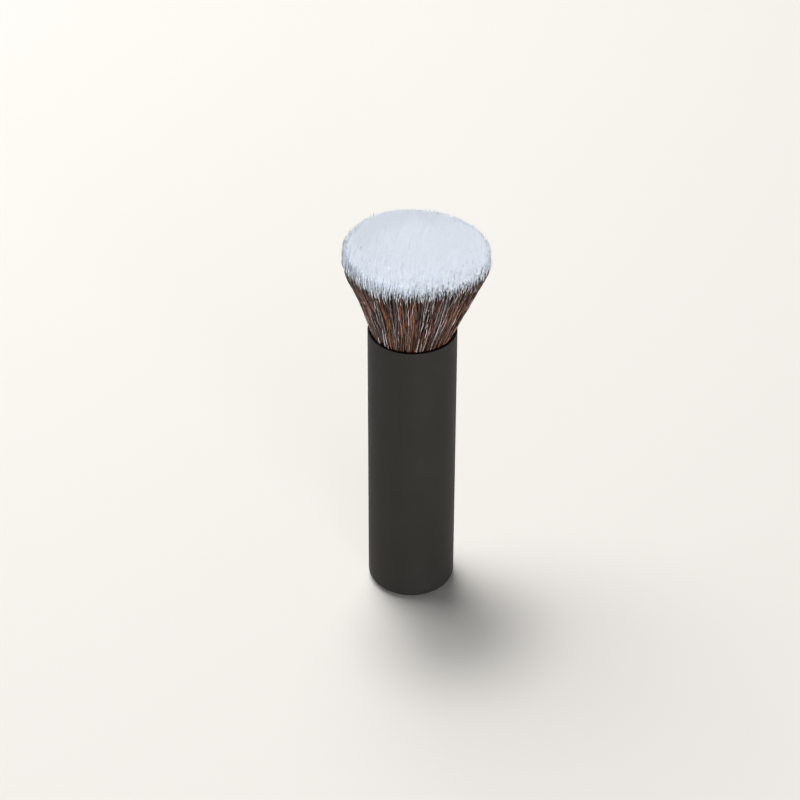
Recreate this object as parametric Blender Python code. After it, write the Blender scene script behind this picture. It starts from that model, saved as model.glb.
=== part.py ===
# Buffing brush: a dense two-tone tuft, glued into a cup that is pressed into a drawn aluminium handle.
# Metres, +Z up. The origin is the middle of the foot, on the surface that the brush stands on.

import math
import random

import bmesh
import bpy

MM = 0.001

# Handle tube: deep-drawn aluminium with a closed end, under a soft-touch coat
HANDLE_RADIUS = 12.5 * MM
HANDLE_HEIGHT = 87.3 * MM
TUBE_WALL = 0.6 * MM
TUBE_FLOOR = 1.0 * MM
BASE_ROUNDING = 2.5 * MM
FOOT_WIDTH = 1.6 * MM
FOOT_RECESS = 0.4 * MM
RIM_ROUND_SHARE = 0.3

# Glue line or clearance between pieces that seat on each other
SEAT_GAP = 0.3 * MM

# Foam pad and steel weight in the bottom of the tube
PAD_THICKNESS = 1.0 * MM
PAD_MARGIN = 0.6 * MM
PAD_EDGE = 0.2 * MM
WEIGHT_HEIGHT = 14.0 * MM
WEIGHT_CHAMFER = 0.8 * MM
CENTRE_DRILL_RADIUS = 1.6 * MM
CENTRE_DRILL_DEPTH = 4.0 * MM

# Moulded core: a sleeve with ribs outside, crossed webs inside and a deck on top
CORE_WALL = 1.5 * MM
CORE_CHAMFER = 0.5 * MM
RIB_COUNT = 8
RIB_HEIGHT = 1.0 * MM
RIB_THICKNESS = 1.4 * MM
DECK_THICKNESS = 2.0 * MM
WEB_THICKNESS = 1.2 * MM
SINK_SHARE = 0.5

# Ferrule cup, a drawn aluminium cup that holds the root of the tuft
CUP_WALL = 0.4 * MM
CUP_FLOOR = 0.6 * MM
CUP_CORNER = 2.0 * MM
CUP_LIP_DEPTH = 3.0 * MM
CRIMP_DEPTH = 0.4 * MM
CRIMP_HEIGHT = 1.6 * MM
CRIMP_FROM_LIP = 1.0 * MM

# Epoxy bed under the root, with a stub that keys through the cup's floor into the deck
GLUE_THICKNESS = 1.5 * MM
KEY_RADIUS = 1.5 * MM
KEY_DEPTH = 3.0 * MM

# Bonded root of the tuft and the thread wound round it
ROOT_DEPTH = 7.0 * MM
ROOT_EDGE = 0.25 * MM
ROOT_MARGIN = 0.6 * MM
ROOT_SINK = 0.2 * MM
THREAD_DIAMETER = 0.6 * MM
THREAD_GAP = 0.5 * MM
THREAD_TURNS = 4
POINTS_PER_TURN = 24

# Head of the tuft: heights are above the handle's rim
RIM_GAP = 0.45 * MM
HEAD_RADIUS = 20.5 * MM
SHOULDER_SHARE = 0.97
SHOULDER_HEIGHT = 20.3 * MM
WIDEST_HEIGHT = 25.0 * MM
CROWN_HEIGHT = 27.9 * MM
CROWN_DROP = 1.4 * MM
TIP_LENGTH = 1.6 * MM
TIP_SCATTER = 0.25 * MM
TIP_LEAN_SHARE = 0.97
TIP_SWAY_SHARE = 0.12

# Strands stand in rings round one centre strand, and each ring holds six more than the one inside it
SIDES = 4
RING_COUNT = 10
RING_STEP = 6
RING_TURN_SHARE = 0.618
CENTRE_FILL_SHARE = 0.6
ROOT_FILL_SHARE = 0.55
HEAD_FILL_SHARE = 0.82
LAYER_GAP = 0.3 * MM
TIP_SEED = 11

# Name, first ring, last ring and facets round the bonded root of each layer, from the middle outwards
LAYERS = (
    ("tuft_centre", 0, 3, 24),
    ("tuft_inner", 4, 6, 24),
    ("tuft_middle", 7, 8, 36),
    ("tuft_outer", 9, 10, 36),
)

# Facets round the turned pieces, the weld distance for their closing seam and the overrun of cuts
TUBE_STEPS = 72
INNER_STEPS = 48
SMALL_STEPS = 24
WELD = 0.005 * MM
CUT_OVERRUN = 1.0 * MM

# Radii that follow from the sizes above
TUBE_BORE = HANDLE_RADIUS - TUBE_WALL
TUBE_CORNER = BASE_ROUNDING - TUBE_WALL
CORE_RADIUS = TUBE_BORE - SEAT_GAP - RIB_HEIGHT
CORE_BORE = CORE_RADIUS - CORE_WALL
WEIGHT_RADIUS = CORE_BORE - SEAT_GAP
CUP_RADIUS = TUBE_BORE - SEAT_GAP
CUP_BORE = CUP_RADIUS - CUP_WALL
CUP_INNER_CORNER = CUP_CORNER - CUP_WALL
KEY_HOLE_RADIUS = KEY_RADIUS + SEAT_GAP
NECK_RADIUS = TUBE_BORE - RIM_GAP
SPLAY = (HEAD_RADIUS * SHOULDER_SHARE - NECK_RADIUS) / SHOULDER_HEIGHT
LAYER_GAPS = LAYER_GAP * (len(LAYERS) - 1)

# Heights that follow, from the floor of the tube up to the head
FLOOR_TOP = FOOT_RECESS + TUBE_FLOOR
PAD_Z = FLOOR_TOP + SEAT_GAP
WEIGHT_Z = PAD_Z + PAD_THICKNESS + SEAT_GAP
CORE_Z = FLOOR_TOP + TUBE_CORNER + SEAT_GAP
THREAD_PITCH = THREAD_DIAMETER + THREAD_GAP
ROOT_HEIGHT = THREAD_TURNS * THREAD_PITCH + THREAD_DIAMETER + 2 * ROOT_MARGIN
ROOT_TOP_Z = HANDLE_HEIGHT - ROOT_DEPTH
ROOT_Z = ROOT_TOP_Z - ROOT_HEIGHT
GLUE_Z = ROOT_Z - SEAT_GAP - GLUE_THICKNESS
CUP_Z = GLUE_Z - SEAT_GAP - CUP_FLOOR
CUP_HEIGHT = HANDLE_HEIGHT - CUP_LIP_DEPTH - CUP_Z
CORE_HEIGHT = CUP_Z - SEAT_GAP - CORE_Z


def linear(channel):
    """One sRGB channel, 0 to 1, as the linear value that a shader takes."""
    if channel <= 0.04045:
        return channel / 12.92
    return ((channel + 0.055) / 1.055) ** 2.4


def finish(name, hex_colour, roughness, metallic=0.0):
    """A Principled material from an sRGB hex colour."""
    material = bpy.data.materials.new(name)
    material.use_nodes = True
    red, green, blue = (linear(int(hex_colour[i : i + 2], 16) / 255) for i in (0, 2, 4))
    shader = material.node_tree.nodes["Principled BSDF"]
    shader.inputs["Base Color"].default_value = (red, green, blue, 1)
    shader.inputs["Roughness"].default_value = roughness
    shader.inputs["Metallic"].default_value = metallic
    material.diffuse_color = (red, green, blue, 1)
    return material


def arc(centre_r, centre_z, radius, start, end, steps):
    """Points of a round stretch of an outline, with its angles in degrees from +r towards +z."""
    angles = [math.radians(start + (end - start) * i / steps) for i in range(steps + 1)]
    return [(centre_r + radius * math.cos(a), centre_z + radius * math.sin(a)) for a in angles]


def solid(name, bm, materials, height, smooth_below=35):
    """Makes an object of a bmesh, raised to its seat, with edges flatter than the angle shaded smooth."""
    mesh = bpy.data.meshes.new(name)
    bm.to_mesh(mesh)
    bm.free()
    for material in materials:
        mesh.materials.append(material)
    mesh.shade_smooth()
    mesh.set_sharp_from_angle(angle=math.radians(smooth_below))
    obj = bpy.data.objects.new(name, mesh)
    obj.location.z = height
    bpy.context.scene.collection.objects.link(obj)
    return obj


def turned(name, outline, steps, materials, height, closed=False):
    """Spins an outline of (radius, height) points round +Z; an open one starts and ends on the axis."""
    bm = bmesh.new()
    points = [bm.verts.new((r, 0, z)) for r, z in outline]
    pairs = list(zip(points, points[1:]))
    if closed:
        pairs.append((points[-1], points[0]))
    edges = [bm.edges.new(pair) for pair in pairs]
    bmesh.ops.spin(bm, geom=points + edges, cent=(0, 0, 0), axis=(0, 0, 1), angle=math.tau, steps=steps)
    bmesh.ops.remove_doubles(bm, verts=bm.verts, dist=WELD)
    bmesh.ops.recalc_face_normals(bm, faces=bm.faces)
    return solid(name, bm, materials, height)


def prism(bm, base, offset):
    """Extrudes a flat outline of 3-D points along the offset into a closed body."""
    face = bm.faces.new([bm.verts.new(point) for point in base])
    extruded = bmesh.ops.extrude_face_region(bm, geom=[face], use_keep_orig=True)["geom"]
    moved = [item for item in extruded if isinstance(item, bmesh.types.BMVert)]
    bmesh.ops.translate(bm, vec=offset, verts=moved)


def helper(obj):
    """Marks an object that only cuts or joins, so that it isn't a piece of the brush."""
    obj.hide_render = True
    obj.display_type = "WIRE"
    return obj


def combine(obj, other, operation):
    """Joins the other solid to the object, or cuts it away, with a live Boolean."""
    modifier = obj.modifiers.new(operation.lower(), "BOOLEAN")
    modifier.operation = operation
    modifier.solver = "EXACT"
    modifier.object = helper(other)


def crimp(radius, middle_z, steps=4):
    """A groove rolled into the cup's wall: the radius drops by half a cosine wave each side of the middle."""
    turns = [-1 + 2 * i / steps for i in range(steps + 1)]
    return [
        (radius - CRIMP_DEPTH * (1 + math.cos(math.pi * t)) / 2, middle_z + CRIMP_HEIGHT * t / 2)
        for t in turns
    ]


def handle_tube():
    """Drawn tube with a rounded base that stands on a narrow ring, and a turned-over rim."""
    foot_radius = HANDLE_RADIUS - BASE_ROUNDING
    recess_radius = foot_radius - FOOT_WIDTH
    rim_round = TUBE_WALL * RIM_ROUND_SHARE
    rim_z = HANDLE_HEIGHT - rim_round
    outline = [(0, FOOT_RECESS), (recess_radius - FOOT_RECESS, FOOT_RECESS), (recess_radius, 0)]
    outline += arc(foot_radius, BASE_ROUNDING, BASE_ROUNDING, -90, 0, 6)
    outline += arc(HANDLE_RADIUS - rim_round, rim_z, rim_round, 0, 90, 2)
    outline += arc(TUBE_BORE + rim_round, rim_z, rim_round, 90, 180, 2)
    outline += arc(TUBE_BORE - TUBE_CORNER, FLOOR_TOP + TUBE_CORNER, TUBE_CORNER, 0, -90, 3)
    outline += [(0, FLOOR_TOP)]
    coat = finish("soft_touch_coat", "393834", 0.62)
    turned("handle_tube", outline, TUBE_STEPS, [coat], 0)


def weight_pad():
    """Double-sided foam disc that holds the weight to the tube's floor and stops it from knocking."""
    radius = WEIGHT_RADIUS - PAD_MARGIN
    outline = [
        (0, 0),
        (radius - PAD_EDGE, 0),
        (radius, PAD_EDGE),
        (radius, PAD_THICKNESS - PAD_EDGE),
        (radius - PAD_EDGE, PAD_THICKNESS),
        (0, PAD_THICKNESS),
    ]
    turned("weight_pad", outline, INNER_STEPS, [finish("black_foam", "222222", 0.95)], PAD_Z)


def base_weight():
    """Turned steel slug with chamfered edges and the drilled centre of its lathe work."""
    drill_tip_z = WEIGHT_HEIGHT - CENTRE_DRILL_DEPTH
    outline = [
        (0, 0),
        (WEIGHT_RADIUS - WEIGHT_CHAMFER, 0),
        (WEIGHT_RADIUS, WEIGHT_CHAMFER),
        (WEIGHT_RADIUS, WEIGHT_HEIGHT - WEIGHT_CHAMFER),
        (WEIGHT_RADIUS - WEIGHT_CHAMFER, WEIGHT_HEIGHT),
        (CENTRE_DRILL_RADIUS, WEIGHT_HEIGHT),
        (CENTRE_DRILL_RADIUS, drill_tip_z + CENTRE_DRILL_RADIUS),
        (0, drill_tip_z),
    ]
    turned("base_weight", outline, INNER_STEPS, [finish("turned_steel", "8A8C8F", 0.35, 1.0)], WEIGHT_Z)


def core_ribs(plastic):
    """Ribs round the core that centre it in the tube, with tapered ends to lead it in."""
    inner = CORE_RADIUS - CORE_WALL * SINK_SHARE
    outer = CORE_RADIUS + RIB_HEIGHT
    start = CORE_CHAMFER
    end = CORE_HEIGHT - CORE_CHAMFER
    side = [(inner, start), (outer, start + RIB_HEIGHT), (outer, end - RIB_HEIGHT), (inner, end)]
    bm = bmesh.new()
    for index in range(RIB_COUNT):
        turn = math.tau * (index + 0.5) / RIB_COUNT
        out_x, out_y = math.cos(turn), math.sin(turn)
        half_x, half_y = -out_y * RIB_THICKNESS / 2, out_x * RIB_THICKNESS / 2
        base = [(r * out_x - half_x, r * out_y - half_y, z) for r, z in side]
        prism(bm, base, (2 * half_x, 2 * half_y, 0))
    bmesh.ops.recalc_face_normals(bm, faces=bm.faces)
    return solid("core_ribs", bm, [plastic], CORE_Z)


def core_webs(plastic):
    """Crossed walls inside the core. Their lower edge holds the weight down, and the deck rests on them."""
    reach = CORE_BORE + CORE_WALL * SINK_SHARE
    half = WEB_THICKNESS / 2
    bottom = WEIGHT_Z + WEIGHT_HEIGHT + SEAT_GAP - CORE_Z
    top = CORE_HEIGHT - DECK_THICKNESS * SINK_SHARE
    cross = []
    for quarter in range(4):
        turn = math.tau * quarter / 4
        for along, across in ((reach, -half), (reach, half), (half, half)):
            x = along * math.cos(turn) - across * math.sin(turn)
            y = along * math.sin(turn) + across * math.cos(turn)
            cross.append((x, y, bottom))
    bm = bmesh.new()
    prism(bm, cross, (0, 0, top - bottom))
    bmesh.ops.recalc_face_normals(bm, faces=bm.faces)
    return solid("core_webs", bm, [plastic], CORE_Z)


def inner_core():
    """Moulded core, open below, that fills the tube and carries the ferrule cup on its deck."""
    plastic = finish("moulded_core_plastic", "2B2C2E", 0.55)
    deck_z = CORE_HEIGHT - DECK_THICKNESS
    outline = [
        (0, deck_z),
        (CORE_BORE, deck_z),
        (CORE_BORE, CORE_CHAMFER),
        (CORE_BORE + CORE_CHAMFER, 0),
        (CORE_RADIUS - CORE_CHAMFER, 0),
        (CORE_RADIUS, CORE_CHAMFER),
        (CORE_RADIUS, CORE_HEIGHT - CORE_CHAMFER),
        (CORE_RADIUS - CORE_CHAMFER, CORE_HEIGHT),
        (0, CORE_HEIGHT),
    ]
    core = turned("inner_core", outline, INNER_STEPS, [plastic], CORE_Z)
    hole_z = CORE_HEIGHT - KEY_DEPTH - SEAT_GAP
    hole = [(0, hole_z), (KEY_HOLE_RADIUS, hole_z)]
    hole += [(r, CORE_HEIGHT + CUT_OVERRUN) for r in (KEY_HOLE_RADIUS, 0)]
    combine(core, core_ribs(plastic), "UNION")
    combine(core, core_webs(plastic), "UNION")
    combine(core, turned("key_hole", hole, SMALL_STEPS, [plastic], CORE_Z), "DIFFERENCE")


def ferrule_cup():
    """Drawn cup with a hole in its floor, a crimp rolled in below its lip and a round lip."""
    lip_round = CUP_WALL / 2
    crimp_z = CUP_HEIGHT - CRIMP_FROM_LIP - CRIMP_HEIGHT / 2
    outline = [(KEY_HOLE_RADIUS, 0)]
    outline += arc(CUP_RADIUS - CUP_CORNER, CUP_CORNER, CUP_CORNER, -90, 0, 3)
    outline += crimp(CUP_RADIUS, crimp_z)
    outline += arc(CUP_RADIUS - lip_round, CUP_HEIGHT - lip_round, lip_round, 0, 180, 2)
    outline += reversed(crimp(CUP_BORE, crimp_z))
    outline += arc(CUP_BORE - CUP_INNER_CORNER, CUP_FLOOR + CUP_INNER_CORNER, CUP_INNER_CORNER, 0, -90, 3)
    outline += [(KEY_HOLE_RADIUS, CUP_FLOOR)]
    aluminium = finish("drawn_aluminium", "B9BABC", 0.3, 1.0)
    turned("ferrule_cup", outline, INNER_STEPS, [aluminium], CUP_Z, closed=True)


def glue_bed():
    """Set epoxy under the root. Its edge follows the cup's inner corner, and its stub keys into the deck."""
    radius = CUP_BORE - SEAT_GAP
    corner = CUP_INNER_CORNER - SEAT_GAP
    stub = -(SEAT_GAP + CUP_FLOOR + SEAT_GAP + KEY_DEPTH)
    outline = [(0, stub), (KEY_RADIUS, stub), (KEY_RADIUS, 0)]
    outline += arc(radius - corner, corner, corner, -90, 0, 3)
    outline += [(radius, GLUE_THICKNESS), (0, GLUE_THICKNESS)]
    turned("glue_bed", outline, INNER_STEPS, [finish("set_epoxy", "C9B27A", 0.25)], GLUE_Z)


def tuft_radius(z):
    """Radius of the tuft's outer face on its straight flare, from the root to the shoulder."""
    return NECK_RADIUS + SPLAY * (z - HANDLE_HEIGHT)


def root_pitch():
    """Spacing of the rings of strands where they leave the bonded root."""
    outer = tuft_radius(ROOT_TOP_Z - ROOT_SINK) - LAYER_GAPS
    return outer / (RING_COUNT + ROOT_FILL_SHARE / 2)


def head_pitch(radius):
    """Spacing of the rings where the head's outer face has this radius."""
    return radius / (RING_COUNT + HEAD_FILL_SHARE / 2)


def layer_edge(ring, layer):
    """Radius of the bonded root's edge, midway between this ring of strands and the next one out."""
    return (ring + 0.5) * root_pitch() + layer * LAYER_GAP


def root_radius():
    """Radius of the whole bonded root, which the thread is wound round."""
    return layer_edge(RING_COUNT, len(LAYERS) - 1) + ROOT_EDGE


def tip_height(ring):
    """Height of a ring's tips above the rim: level in the middle, and lower by the drop at the edge."""
    return CROWN_HEIGHT - CROWN_DROP * (ring / RING_COUNT) ** 4


def strand_levels(ring, layer):
    """(height, distance from the axis, half the width) of a strand at its root and at each level above."""
    pitch = root_pitch()
    levels = [(ROOT_TOP_Z - ROOT_SINK, ring * pitch + layer * LAYER_GAP, pitch * ROOT_FILL_SHARE / 2)]
    bends = [(tip_height(ring) - TIP_LENGTH, HEAD_RADIUS)]
    if ring == RING_COUNT:
        bends = [(SHOULDER_HEIGHT, HEAD_RADIUS * SHOULDER_SHARE), (WIDEST_HEIGHT, HEAD_RADIUS)]
    for height, radius in bends:
        pitch = head_pitch(radius)
        levels.append((HANDLE_HEIGHT + height, ring * pitch, pitch * HEAD_FILL_SHARE / 2))
    return levels


def strand_section(ring, angle, distance, half_width):
    """The four corners of a strand: a slice of its ring, or a square at the centre."""
    if ring == 0:
        reach = half_width * CENTRE_FILL_SHARE / HEAD_FILL_SHARE * math.sqrt(2)
        return [(reach, angle + math.tau * (i + 0.5) / SIDES) for i in range(SIDES)]
    half_angle = half_width / distance * math.tau / RING_STEP
    inner, outer = distance - half_width, distance + half_width
    before, after = angle - half_angle, angle + half_angle
    return [(inner, before), (outer, before), (outer, after), (inner, after)]


def strand(bm, ring, angle, layer, chance):
    """One strand: a four-sided bar that widens from its root, then closes to a pale pointed tip."""
    sections = []
    for height, distance, half_width in strand_levels(ring, layer):
        corners = strand_section(ring, angle, distance, half_width)
        sections.append([bm.verts.new((r * math.cos(a), r * math.sin(a), height)) for r, a in corners])
    sway = head_pitch(HEAD_RADIUS) * TIP_SWAY_SHARE
    reach = ring * head_pitch(HEAD_RADIUS) * TIP_LEAN_SHARE
    tip_x = reach * math.cos(angle) + sway * chance.uniform(-1, 1)
    tip_y = reach * math.sin(angle) + sway * chance.uniform(-1, 1)
    tip_z = HANDLE_HEIGHT + tip_height(ring) + TIP_SCATTER * chance.uniform(-1, 1)
    tip = bm.verts.new((tip_x, tip_y, tip_z))
    bm.faces.new(reversed(sections[0]))
    corners_round = list(zip(range(SIDES), [*range(1, SIDES), 0]))
    for level, (below, above) in enumerate(zip(sections, sections[1:])):
        for here, after in corners_round:
            side = bm.faces.new((below[here], below[after], above[after], above[here]))
            side.material_index = min(level, 1)
    for here, after in corners_round:
        bm.faces.new((sections[-1][here], sections[-1][after], tip)).material_index = 1


def tuft_layer(index, hair, chance):
    """One layer of the tuft: its rings of strands, joined to their own slice of the bonded root."""
    name, first, last, facets = LAYERS[index]
    outer = layer_edge(last, index)
    if index == len(LAYERS) - 1:
        outer = root_radius()
    outline = [(0, 0), (outer, 0), (outer, ROOT_HEIGHT), (0, ROOT_HEIGHT)]
    if index:
        inner = layer_edge(first - 1, index)
        outline = [(inner, 0), (outer, 0), (outer, ROOT_HEIGHT), (inner, ROOT_HEIGHT)]
    root = turned(name, outline, facets, hair, ROOT_Z, closed=index > 0)
    bm = bmesh.new()
    for ring in range(first, last + 1):
        count = max(ring * RING_STEP, 1)
        for step in range(count):
            angle = math.tau * (step + ring * RING_TURN_SHARE % 1) / count
            strand(bm, ring, angle, index, chance)
    combine(root, solid(name + "_strands", bm, hair, 0), "UNION")


def root_binding():
    """Waxed thread wound round the root as one helix, with straight ends one diameter long."""
    radius = root_radius() + SEAT_GAP + THREAD_DIAMETER / 2
    start_z = ROOT_MARGIN + THREAD_DIAMETER / 2
    points = []
    for i in range(THREAD_TURNS * POINTS_PER_TURN + 1):
        turn = math.tau * i / POINTS_PER_TURN
        climb = start_z + THREAD_PITCH * i / POINTS_PER_TURN
        points.append((radius * math.cos(turn), radius * math.sin(turn), climb))
    first_x, first_y, first_z = points[0]
    last_x, last_y, last_z = points[-1]
    points.insert(0, (first_x, first_y - THREAD_DIAMETER, first_z))
    points.append((last_x, last_y + THREAD_DIAMETER, last_z))
    apart = POINTS_PER_TURN // 2
    nearest = min(
        math.dist(points[i], points[j])
        for i in range(len(points))
        for j in range(i + apart, len(points))
    )
    print(f"root_binding: least gap to itself {(nearest - THREAD_DIAMETER) / MM:.2f} mm")
    curve = bpy.data.curves.new("root_binding", "CURVE")
    curve.dimensions = "3D"
    curve.bevel_depth = THREAD_DIAMETER / 2
    curve.bevel_resolution = 1
    curve.use_fill_caps = True
    spline = curve.splines.new("POLY")
    spline.points.add(len(points) - 1)
    for point, place in zip(spline.points, points):
        point.co = (*place, 1)
    spline.use_smooth = True
    curve.materials.append(finish("waxed_thread", "D8D2C4", 0.7))
    obj = bpy.data.objects.new("root_binding", curve)
    obj.location.z = ROOT_Z
    bpy.context.scene.collection.objects.link(obj)


def tuft():
    """The whole tuft in layers, with dark hair below the dip line and pale tips above it."""
    hair = [finish("brown_hair", "4A3228", 0.5), finish("dipped_tips", "D8DFEA", 0.6)]
    chance = random.Random(TIP_SEED)
    for index in range(len(LAYERS)):
        tuft_layer(index, hair, chance)


for leftover in list(bpy.data.objects):
    bpy.data.objects.remove(leftover)

handle_tube()
weight_pad()
base_weight()
inner_core()
ferrule_cup()
glue_bed()
root_binding()
tuft()
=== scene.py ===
# Buffing brush: looks, light and camera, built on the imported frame.
# Metres, +Z up. The brush stands on the floor at the origin and the camera looks at it from -Y.
# Shapes are worked out in millimetres and written into their meshes in metres.

import math

import bpy
import numpy as np
from mathutils import Matrix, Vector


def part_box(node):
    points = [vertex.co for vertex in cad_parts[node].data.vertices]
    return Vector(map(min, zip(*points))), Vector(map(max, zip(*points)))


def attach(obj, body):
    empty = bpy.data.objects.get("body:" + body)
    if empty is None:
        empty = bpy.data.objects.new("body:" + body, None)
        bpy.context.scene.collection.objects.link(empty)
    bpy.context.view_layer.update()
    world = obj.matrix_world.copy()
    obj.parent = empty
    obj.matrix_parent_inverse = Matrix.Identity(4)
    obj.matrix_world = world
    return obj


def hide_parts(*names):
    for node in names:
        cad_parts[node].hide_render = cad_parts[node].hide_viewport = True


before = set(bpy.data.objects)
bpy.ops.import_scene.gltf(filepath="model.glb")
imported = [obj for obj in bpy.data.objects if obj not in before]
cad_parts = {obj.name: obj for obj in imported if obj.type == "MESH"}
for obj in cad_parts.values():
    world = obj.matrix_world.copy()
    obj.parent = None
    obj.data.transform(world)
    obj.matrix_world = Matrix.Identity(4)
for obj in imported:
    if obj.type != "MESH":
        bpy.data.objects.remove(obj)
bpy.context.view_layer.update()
print("frame loaded:", len(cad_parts), "nodes")

mm = 0.001
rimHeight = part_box("handle_tube")[1].z / mm


# Camera

cameraShot = {
    "place": (-0.003402, -0.607572, 0.504247),
    "tilt": 54.0,  # degrees from straight down
    "roll": 0.166,  # degrees
    "lens": 119.565,
    "sensor": 36.0,
    "clip": (0.02, 20),  # metres
}


def setCamera(shot):
    # Rolled about its own axis, tilted up from straight down, and moved to its place
    camera = bpy.data.cameras.new("photoCamera")
    camera.lens = shot["lens"]
    camera.sensor_width = shot["sensor"]
    camera.clip_start, camera.clip_end = shot["clip"]
    holder = bpy.data.objects.new("photoCamera", camera)
    bpy.context.scene.collection.objects.link(holder)
    tilt = Matrix.Rotation(math.radians(shot["tilt"]), 4, "X")
    roll = Matrix.Rotation(math.radians(shot["roll"]), 4, "Z")
    holder.matrix_world = Matrix.Translation(shot["place"]) @ tilt @ roll
    bpy.context.scene.camera = holder
    bpy.context.scene.view_settings.view_transform = "Standard"


# Small tools for materials and meshes


def linear(hexColour):
    # A channel up to 0.04045 is divided by 12.92, and any other is ((c + 0.055) / 1.055) to the power 2.4
    channels = np.array([int(hexColour[i : i + 2], 16) for i in (0, 2, 4)]) / 255
    bent = ((channels + 0.055) / 1.055) ** 2.4
    return (*np.where(channels <= 0.04045, channels / 12.92, bent).tolist(), 1.0)


def addNode(tree, kind, settings, inputs):
    # Settings are the node's own properties. An input takes a plain value, or a socket to link from.
    node = tree.nodes.new("ShaderNode" + kind)
    for name, value in settings.items():
        if name == "stops":
            ramp = node.color_ramp
            while len(ramp.elements) < len(value):
                ramp.elements.new(1.0)
            for element, (position, hexColour) in zip(ramp.elements, value):
                element.position = position
                element.color = linear(hexColour)
        else:
            setattr(node, name, value)
    for name, value in inputs.items():
        if isinstance(value, bpy.types.NodeSocket):
            tree.links.new(value, node.inputs[name])
        else:
            node.inputs[name].default_value = value
    return node


def newMaterial(name, hexColour, roughness, metallic=0.0):
    # A material with these plain values, and its tree and shader to link more to
    material = bpy.data.materials.new(name)
    material.use_nodes = True
    tree = material.node_tree
    shader = tree.nodes["Principled BSDF"]
    shader.inputs["Base Color"].default_value = linear(hexColour)
    shader.inputs["Roughness"].default_value = roughness
    shader.inputs["Metallic"].default_value = metallic
    material.diffuse_color = linear(hexColour)
    return material, tree, shader


def linkLooks(tree, shader, tint=None, gloss=None, bump=None):
    # Colour, roughness and fine relief reach the shader from those of these nodes that are given
    for node, name in ((tint, "Base Color"), (gloss, "Roughness"), (bump, "Normal")):
        if node:
            tree.links.new(node.outputs[0], shader.inputs[name])


def makePiece(name, points, faces, material, maps=None):
    # Points are in millimetres. Each map is a name and one (u, v) for every corner of every face.
    mesh = bpy.data.meshes.new(name)
    mesh.from_pydata(points * mm, [], faces)
    for mapName, corners in (maps or {}).items():
        layer = mesh.uv_layers.new(name=mapName)
        layer.data.foreach_set("uv", corners.astype(np.float32).ravel())
    mesh.shade_smooth()
    mesh.materials.append(material)
    piece = bpy.data.objects.new(name, mesh)
    bpy.context.scene.collection.objects.link(piece)
    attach(piece, "root")
    return piece


def ringFaces(rows, around):
    # Quads between each row of a grid of points and the next one. Every row closes on itself.
    row = np.arange(rows - 1)[:, None]
    step = np.arange(around)[None, :]
    below = row * around
    above = below + around
    after = (step + 1) % around
    return np.stack([below + step, below + after, above + after, above + step], -1).reshape(-1, 4)


def closedFaces(rows, around):
    # The same grid with a fan of triangles at each end, to two poles that come after its points
    step = np.arange(around)
    after = (step + 1) % around
    last = (rows - 1) * around
    pole = np.full(around, rows * around)
    startFan = np.stack([pole, after, step], -1)
    endFan = np.stack([pole + 1, last + step, last + after], -1)
    return ringFaces(rows, around).tolist() + startFan.tolist() + endFan.tolist()


def arcPoints(centreR, centreZ, radius, start, end, steps):
    # Centre plus radius times (cosine, sine) of an angle that goes evenly from start to end, in degrees
    angle = np.radians(np.linspace(start, end, steps + 1))
    return np.stack([centreR + radius * np.cos(angle), centreZ + radius * np.sin(angle)], -1)


def joinProfile(parts):
    # One outline of (r, z) points from stretches of it
    return np.concatenate([np.array(part, float) for part in parts])


def turnedPiece(name, profile, around, material):
    # Surface of revolution: each (r, z) of the profile goes round as (r cos a, r sin a, z).
    # The profile starts and ends on the axis, where a fan of triangles closes it.
    angle = np.linspace(0, 2 * np.pi, around, endpoint=False)
    inner = profile[1:-1]
    x = inner[:, :1] * np.cos(angle)
    y = inner[:, :1] * np.sin(angle)
    z = np.broadcast_to(inner[:, 1:], x.shape)
    points = np.stack([x, y, z], -1).reshape(-1, 3)
    poles = np.array([[0, 0, profile[0, 1]], [0, 0, profile[-1, 1]]])
    return makePiece(name, np.concatenate([points, poles]), closedFaces(len(inner), around), material)


def discProfile(size, low):
    # A flat disc whose edge is rounded: two quarter circles joined by a straight edge. A ring beside each
    # circle keeps the shading of the flat side even.
    radius, edge, high = size["radius"], size["edge"], low + size["height"]
    ring = radius - edge - size["shadeRing"]
    return joinProfile(
        [
            [[0, low], [radius / 2, low], [ring, low]],
            arcPoints(radius - edge, low + edge, edge, -90, 0, size["edgeSteps"]),
            arcPoints(radius - edge, high - edge, edge, 0, 90, size["edgeSteps"]),
            [[ring, high], [radius / 2, high], [0, high]],
        ]
    )


# Handle tube

handle = {
    "radius": 12.5,
    "height": rimHeight,
    "wall": 0.6,
    "floor": 1.0,
    "baseRounding": 2.5,
    "footWidth": 1.6,
    "footRecess": 0.4,
    "rimRounding": 0.18,
    "around": 192,
    "wallRings": 24,
    "boreRings": 12,
    "baseSteps": 14,
    "rimSteps": 5,
    "cornerSteps": 8,
    "shadeRing": 0.2,  # mm from an arc to the ring that keeps the shading of the wall beside it even
    "shadeFoot": 0.1,  # the same on the foot
    "shadeRecess": 0.3,  # and in the recess
    "coatColour": "282723",
    "coatRoughness": 0.55,
}


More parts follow.
